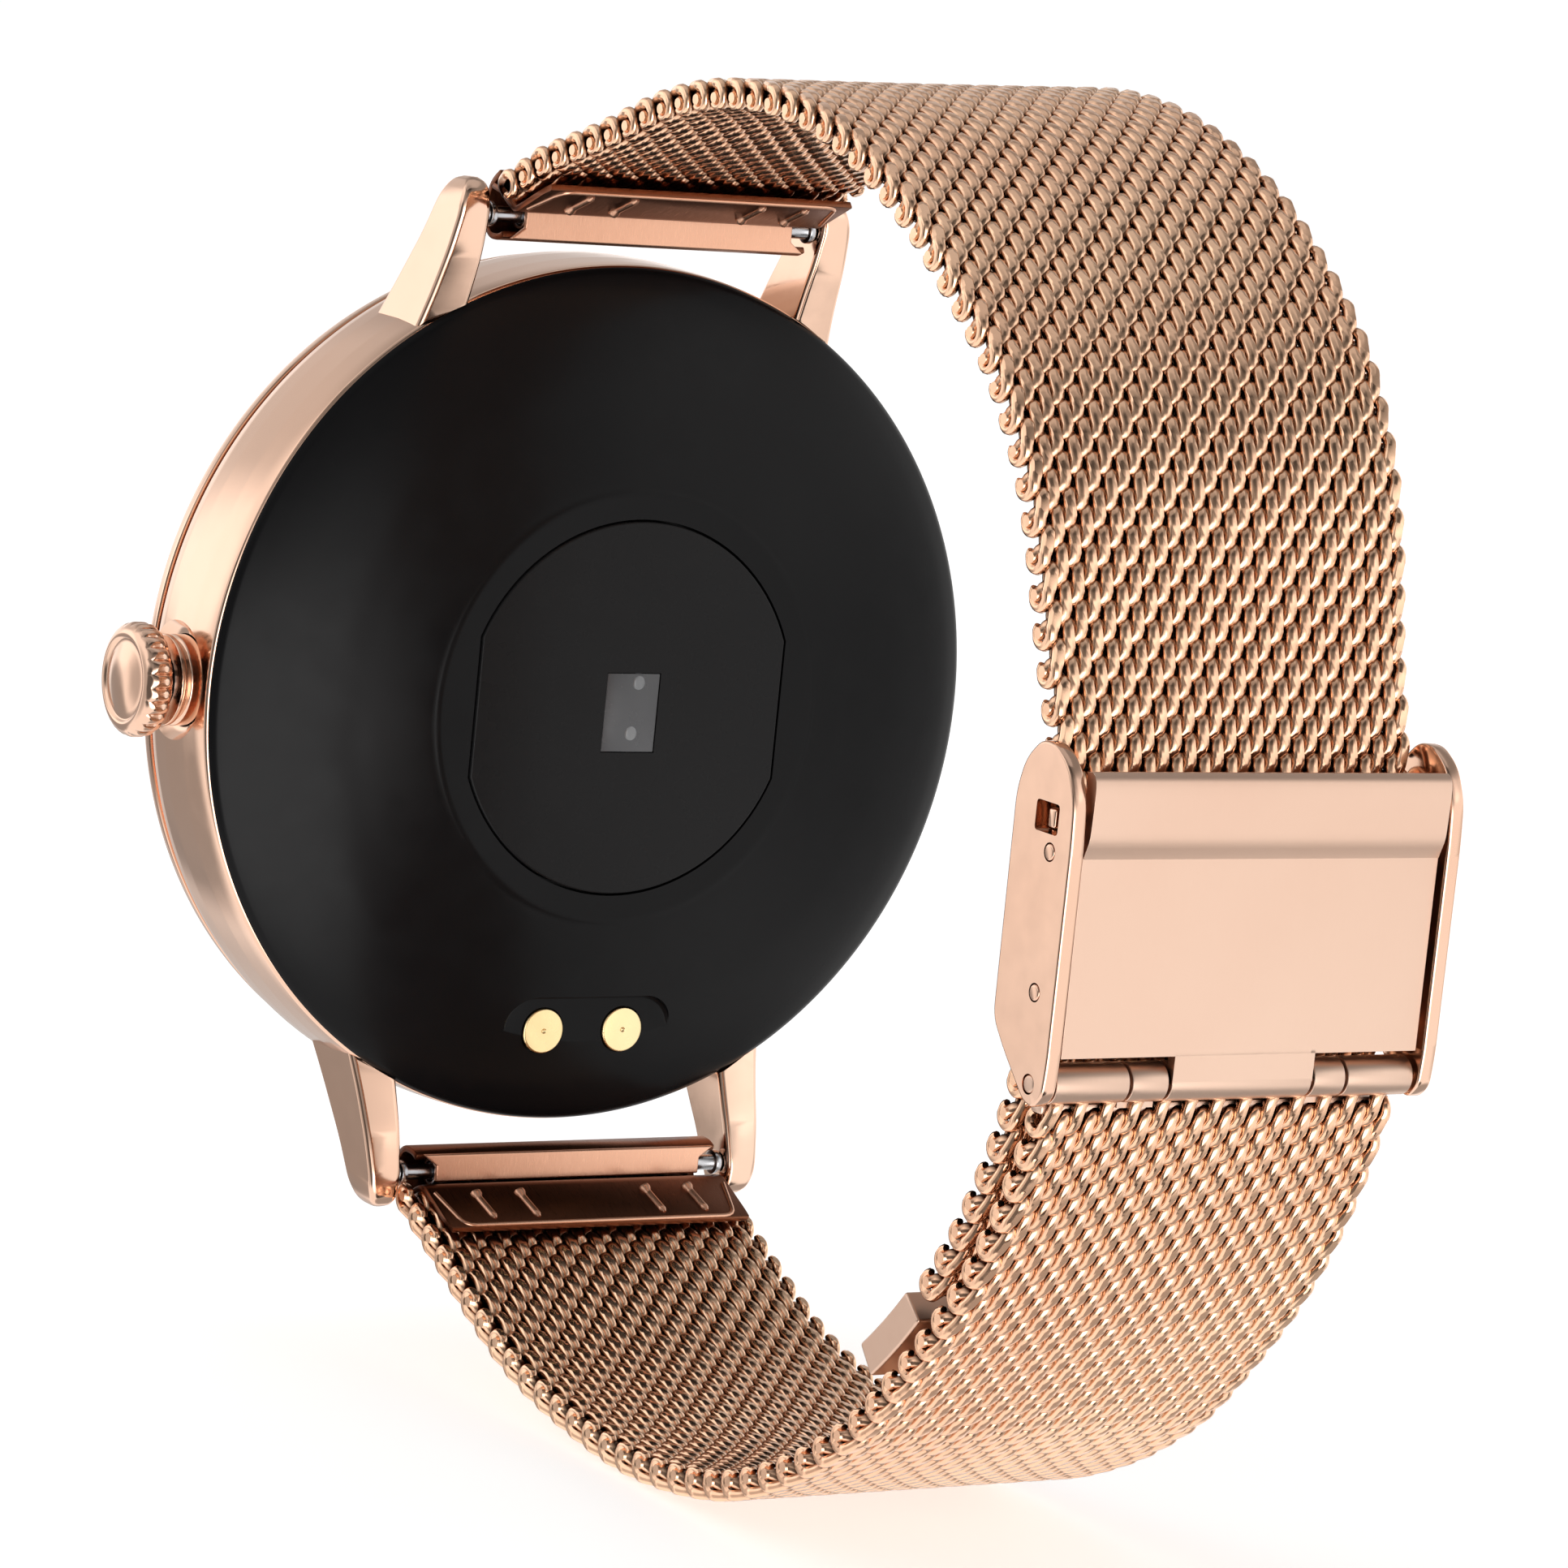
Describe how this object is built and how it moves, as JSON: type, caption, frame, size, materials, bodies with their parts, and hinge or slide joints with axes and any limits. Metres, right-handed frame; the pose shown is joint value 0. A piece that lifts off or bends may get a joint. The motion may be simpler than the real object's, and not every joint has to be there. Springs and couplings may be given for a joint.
{
  "type": "smartwatch",
  "caption": "Round smartwatch in rose-gold metal with a black sensor back, push crown and woven-mesh bracelet closed by a sliding clasp.",
  "frame": {"origin": "middle of the sensor window's outer face, where the watch rests on the wrist", "axes": "+X towards the crown at 3 o'clock, +Y out of the back towards the wrist and the clasp, +Z towards 12 o'clock"},
  "size_m": [0.045, 0.0629, 0.0633],
  "materials": {
    "polished_rose": "polished rose-gold plating",
    "satin_rose": "fine brushed rose-gold plating",
    "woven_rose": "woven wire, lightly polished, rose-gold plating",
    "copper_clip": "satin copper-toned plating",
    "steel": "plain turned steel",
    "gold": "gold-plated contact",
    "black_shell": "smooth semi-gloss black",
    "dark_window": "dark grey gloss",
    "front_glass": "clear over black",
    "board": "green board",
    "cell": "foil pouch",
    "seal": "soft black",
    "led": "clear lens"
  },
  "bodies": {
    "watch": {"case_body": "polished_rose", "bezel_ring": "polished_rose", "display_glass": "front_glass", "display_adhesive": "seal", "display_module": "dark_window", "rear_cover": "black_shell", "rear_gasket": "seal", "sensor_window": "dark_window", "optical_window": "dark_window", "sensor_board": "board", "photodiode": "dark_window", "led_upper": "led", "led_lower": "led", "contact_left": "gold", "contact_right": "gold", "magnet_left": "steel", "magnet_right": "steel", "inner_frame": "dark_window", "main_board": "board", "processor_shield": "steel", "battery": "cell", "board_screw_1": "steel", "board_screw_2": "steel", "board_screw_3": "steel", "board_screw_4": "steel", "motor_can": "steel", "crown_tube": "polished_rose", "crown_seal": "seal", "crown_switch": "dark_window"},
    "crown_slide": {"stem_clip": "steel"},
    "crown": {"crown_head": "polished_rose", "crown_stem": "steel"},
    "switch": {"switch_plunger": "steel"},
    "rotor": {"motor_rotor": "steel"},
    "upper_band": {"end_clip_top": "copper_clip", "spring_bar_top": "steel", "bar_spring_top": "steel", "strap_upper_lug": "woven_rose"},
    "tail_band": {"strap_upper_tail": "woven_rose", "tail_end_cap": "polished_rose"},
    "lower_band": {"end_clip_bottom": "copper_clip", "spring_bar_bottom": "steel", "bar_spring_bottom": "steel", "strap_lower_lug": "woven_rose"},
    "clasp": {"strap_lower_clasp": "woven_rose", "end_link": "satin_rose", "clasp_frame": "polished_rose", "hinge_pin": "steel", "guide_pin_upper": "polished_rose", "guide_pin_lower": "polished_rose", "clasp_sleeve_left": "satin_rose", "clasp_sleeve_right": "satin_rose"},
    "cover": {"clasp_cover": "satin_rose"},
    "lock": {"lock_bar": "satin_rose"},
    "pin_top_left": {"bar_pin_top_left": "steel"},
    "pin_top_right": {"bar_pin_top_right": "steel"},
    "pin_bottom_left": {"bar_pin_bottom_left": "steel"},
    "pin_bottom_right": {"bar_pin_bottom_right": "steel"}
  },
  "joints": [
    {"name": "crown_press", "type": "slide", "parent": "watch", "child": "crown_slide", "axis": [-1, 0, 0], "range_m": [0, 0.00045], "stiffness_N_per_m": 1500, "springref_m": -0.0006},
    {"name": "crown_turn", "type": "hinge", "parent": "crown_slide", "child": "crown", "pos_m": [0.0221, -0.0068, 0], "axis": [1, 0, 0], "continuous": true},
    {"name": "switch_press", "type": "slide", "parent": "watch", "child": "switch", "axis": [-1, 0, 0], "range_m": [0, 0.00045]},
    {"name": "motor_spin", "type": "hinge", "parent": "watch", "child": "rotor", "pos_m": [-0.0137, -0.005, 0], "axis": [0, 1, 0], "continuous": true},
    {"name": "upper_lug_swing", "type": "hinge", "parent": "watch", "child": "upper_band", "pos_m": [0, -0.0024, 0.023], "axis": [1, 0, 0], "range_deg": [-2, 4]},
    {"name": "upper_band_flex", "type": "hinge", "parent": "upper_band", "child": "tail_band", "pos_m": [0, 0.03816, 0.02494], "axis": [1, 0, 0], "range_deg": [-2.8, 5.5]},
    {"name": "lower_lug_swing", "type": "hinge", "parent": "watch", "child": "lower_band", "pos_m": [0, -0.0024, -0.023], "axis": [-1, 0, 0], "range_deg": [-2.1, 4.1]},
    {"name": "lower_band_flex", "type": "hinge", "parent": "lower_band", "child": "clasp", "pos_m": [0, 0.03816, -0.02494], "axis": [-1, 0, 0], "range_deg": [-2.8, 5.5]},
    {"name": "cover_open", "type": "hinge", "parent": "clasp", "child": "cover", "pos_m": [0, 0.05025, -0.00665], "axis": [-1, 0, 0], "range_deg": [0, 120]},
    {"name": "lock_bar_lift", "type": "slide", "parent": "clasp", "child": "lock", "axis": [0, 1, 0], "range_m": [0, 0.0003]},
    {"name": "pin_top_left_slide", "type": "slide", "parent": "upper_band", "child": "pin_top_left", "axis": [-1, 0, 0], "range_m": [0, 0.0013], "stiffness_N_per_m": 500, "springref_m": -0.001},
    {"name": "pin_top_right_slide", "type": "slide", "parent": "upper_band", "child": "pin_top_right", "axis": [1, 0, 0], "range_m": [0, 0.0013], "stiffness_N_per_m": 500, "springref_m": -0.001},
    {"name": "pin_bottom_left_slide", "type": "slide", "parent": "lower_band", "child": "pin_bottom_left", "axis": [-1, 0, 0], "range_m": [0, 0.0013], "stiffness_N_per_m": 500, "springref_m": -0.001},
    {"name": "pin_bottom_right_slide", "type": "slide", "parent": "lower_band", "child": "pin_bottom_right", "axis": [1, 0, 0], "range_m": [0, 0.0013], "stiffness_N_per_m": 500, "springref_m": -0.001}
  ],
  "couplings": [
    {"joint": "switch_press", "follows": "crown_press", "ratio": 1},
    {"joint": "upper_band_flex", "follows": "upper_lug_swing", "ratio": 1.35},
    {"joint": "lower_lug_swing", "follows": "upper_lug_swing", "ratio": 1},
    {"joint": "lower_band_flex", "follows": "upper_lug_swing", "ratio": 1.35}
  ]
}
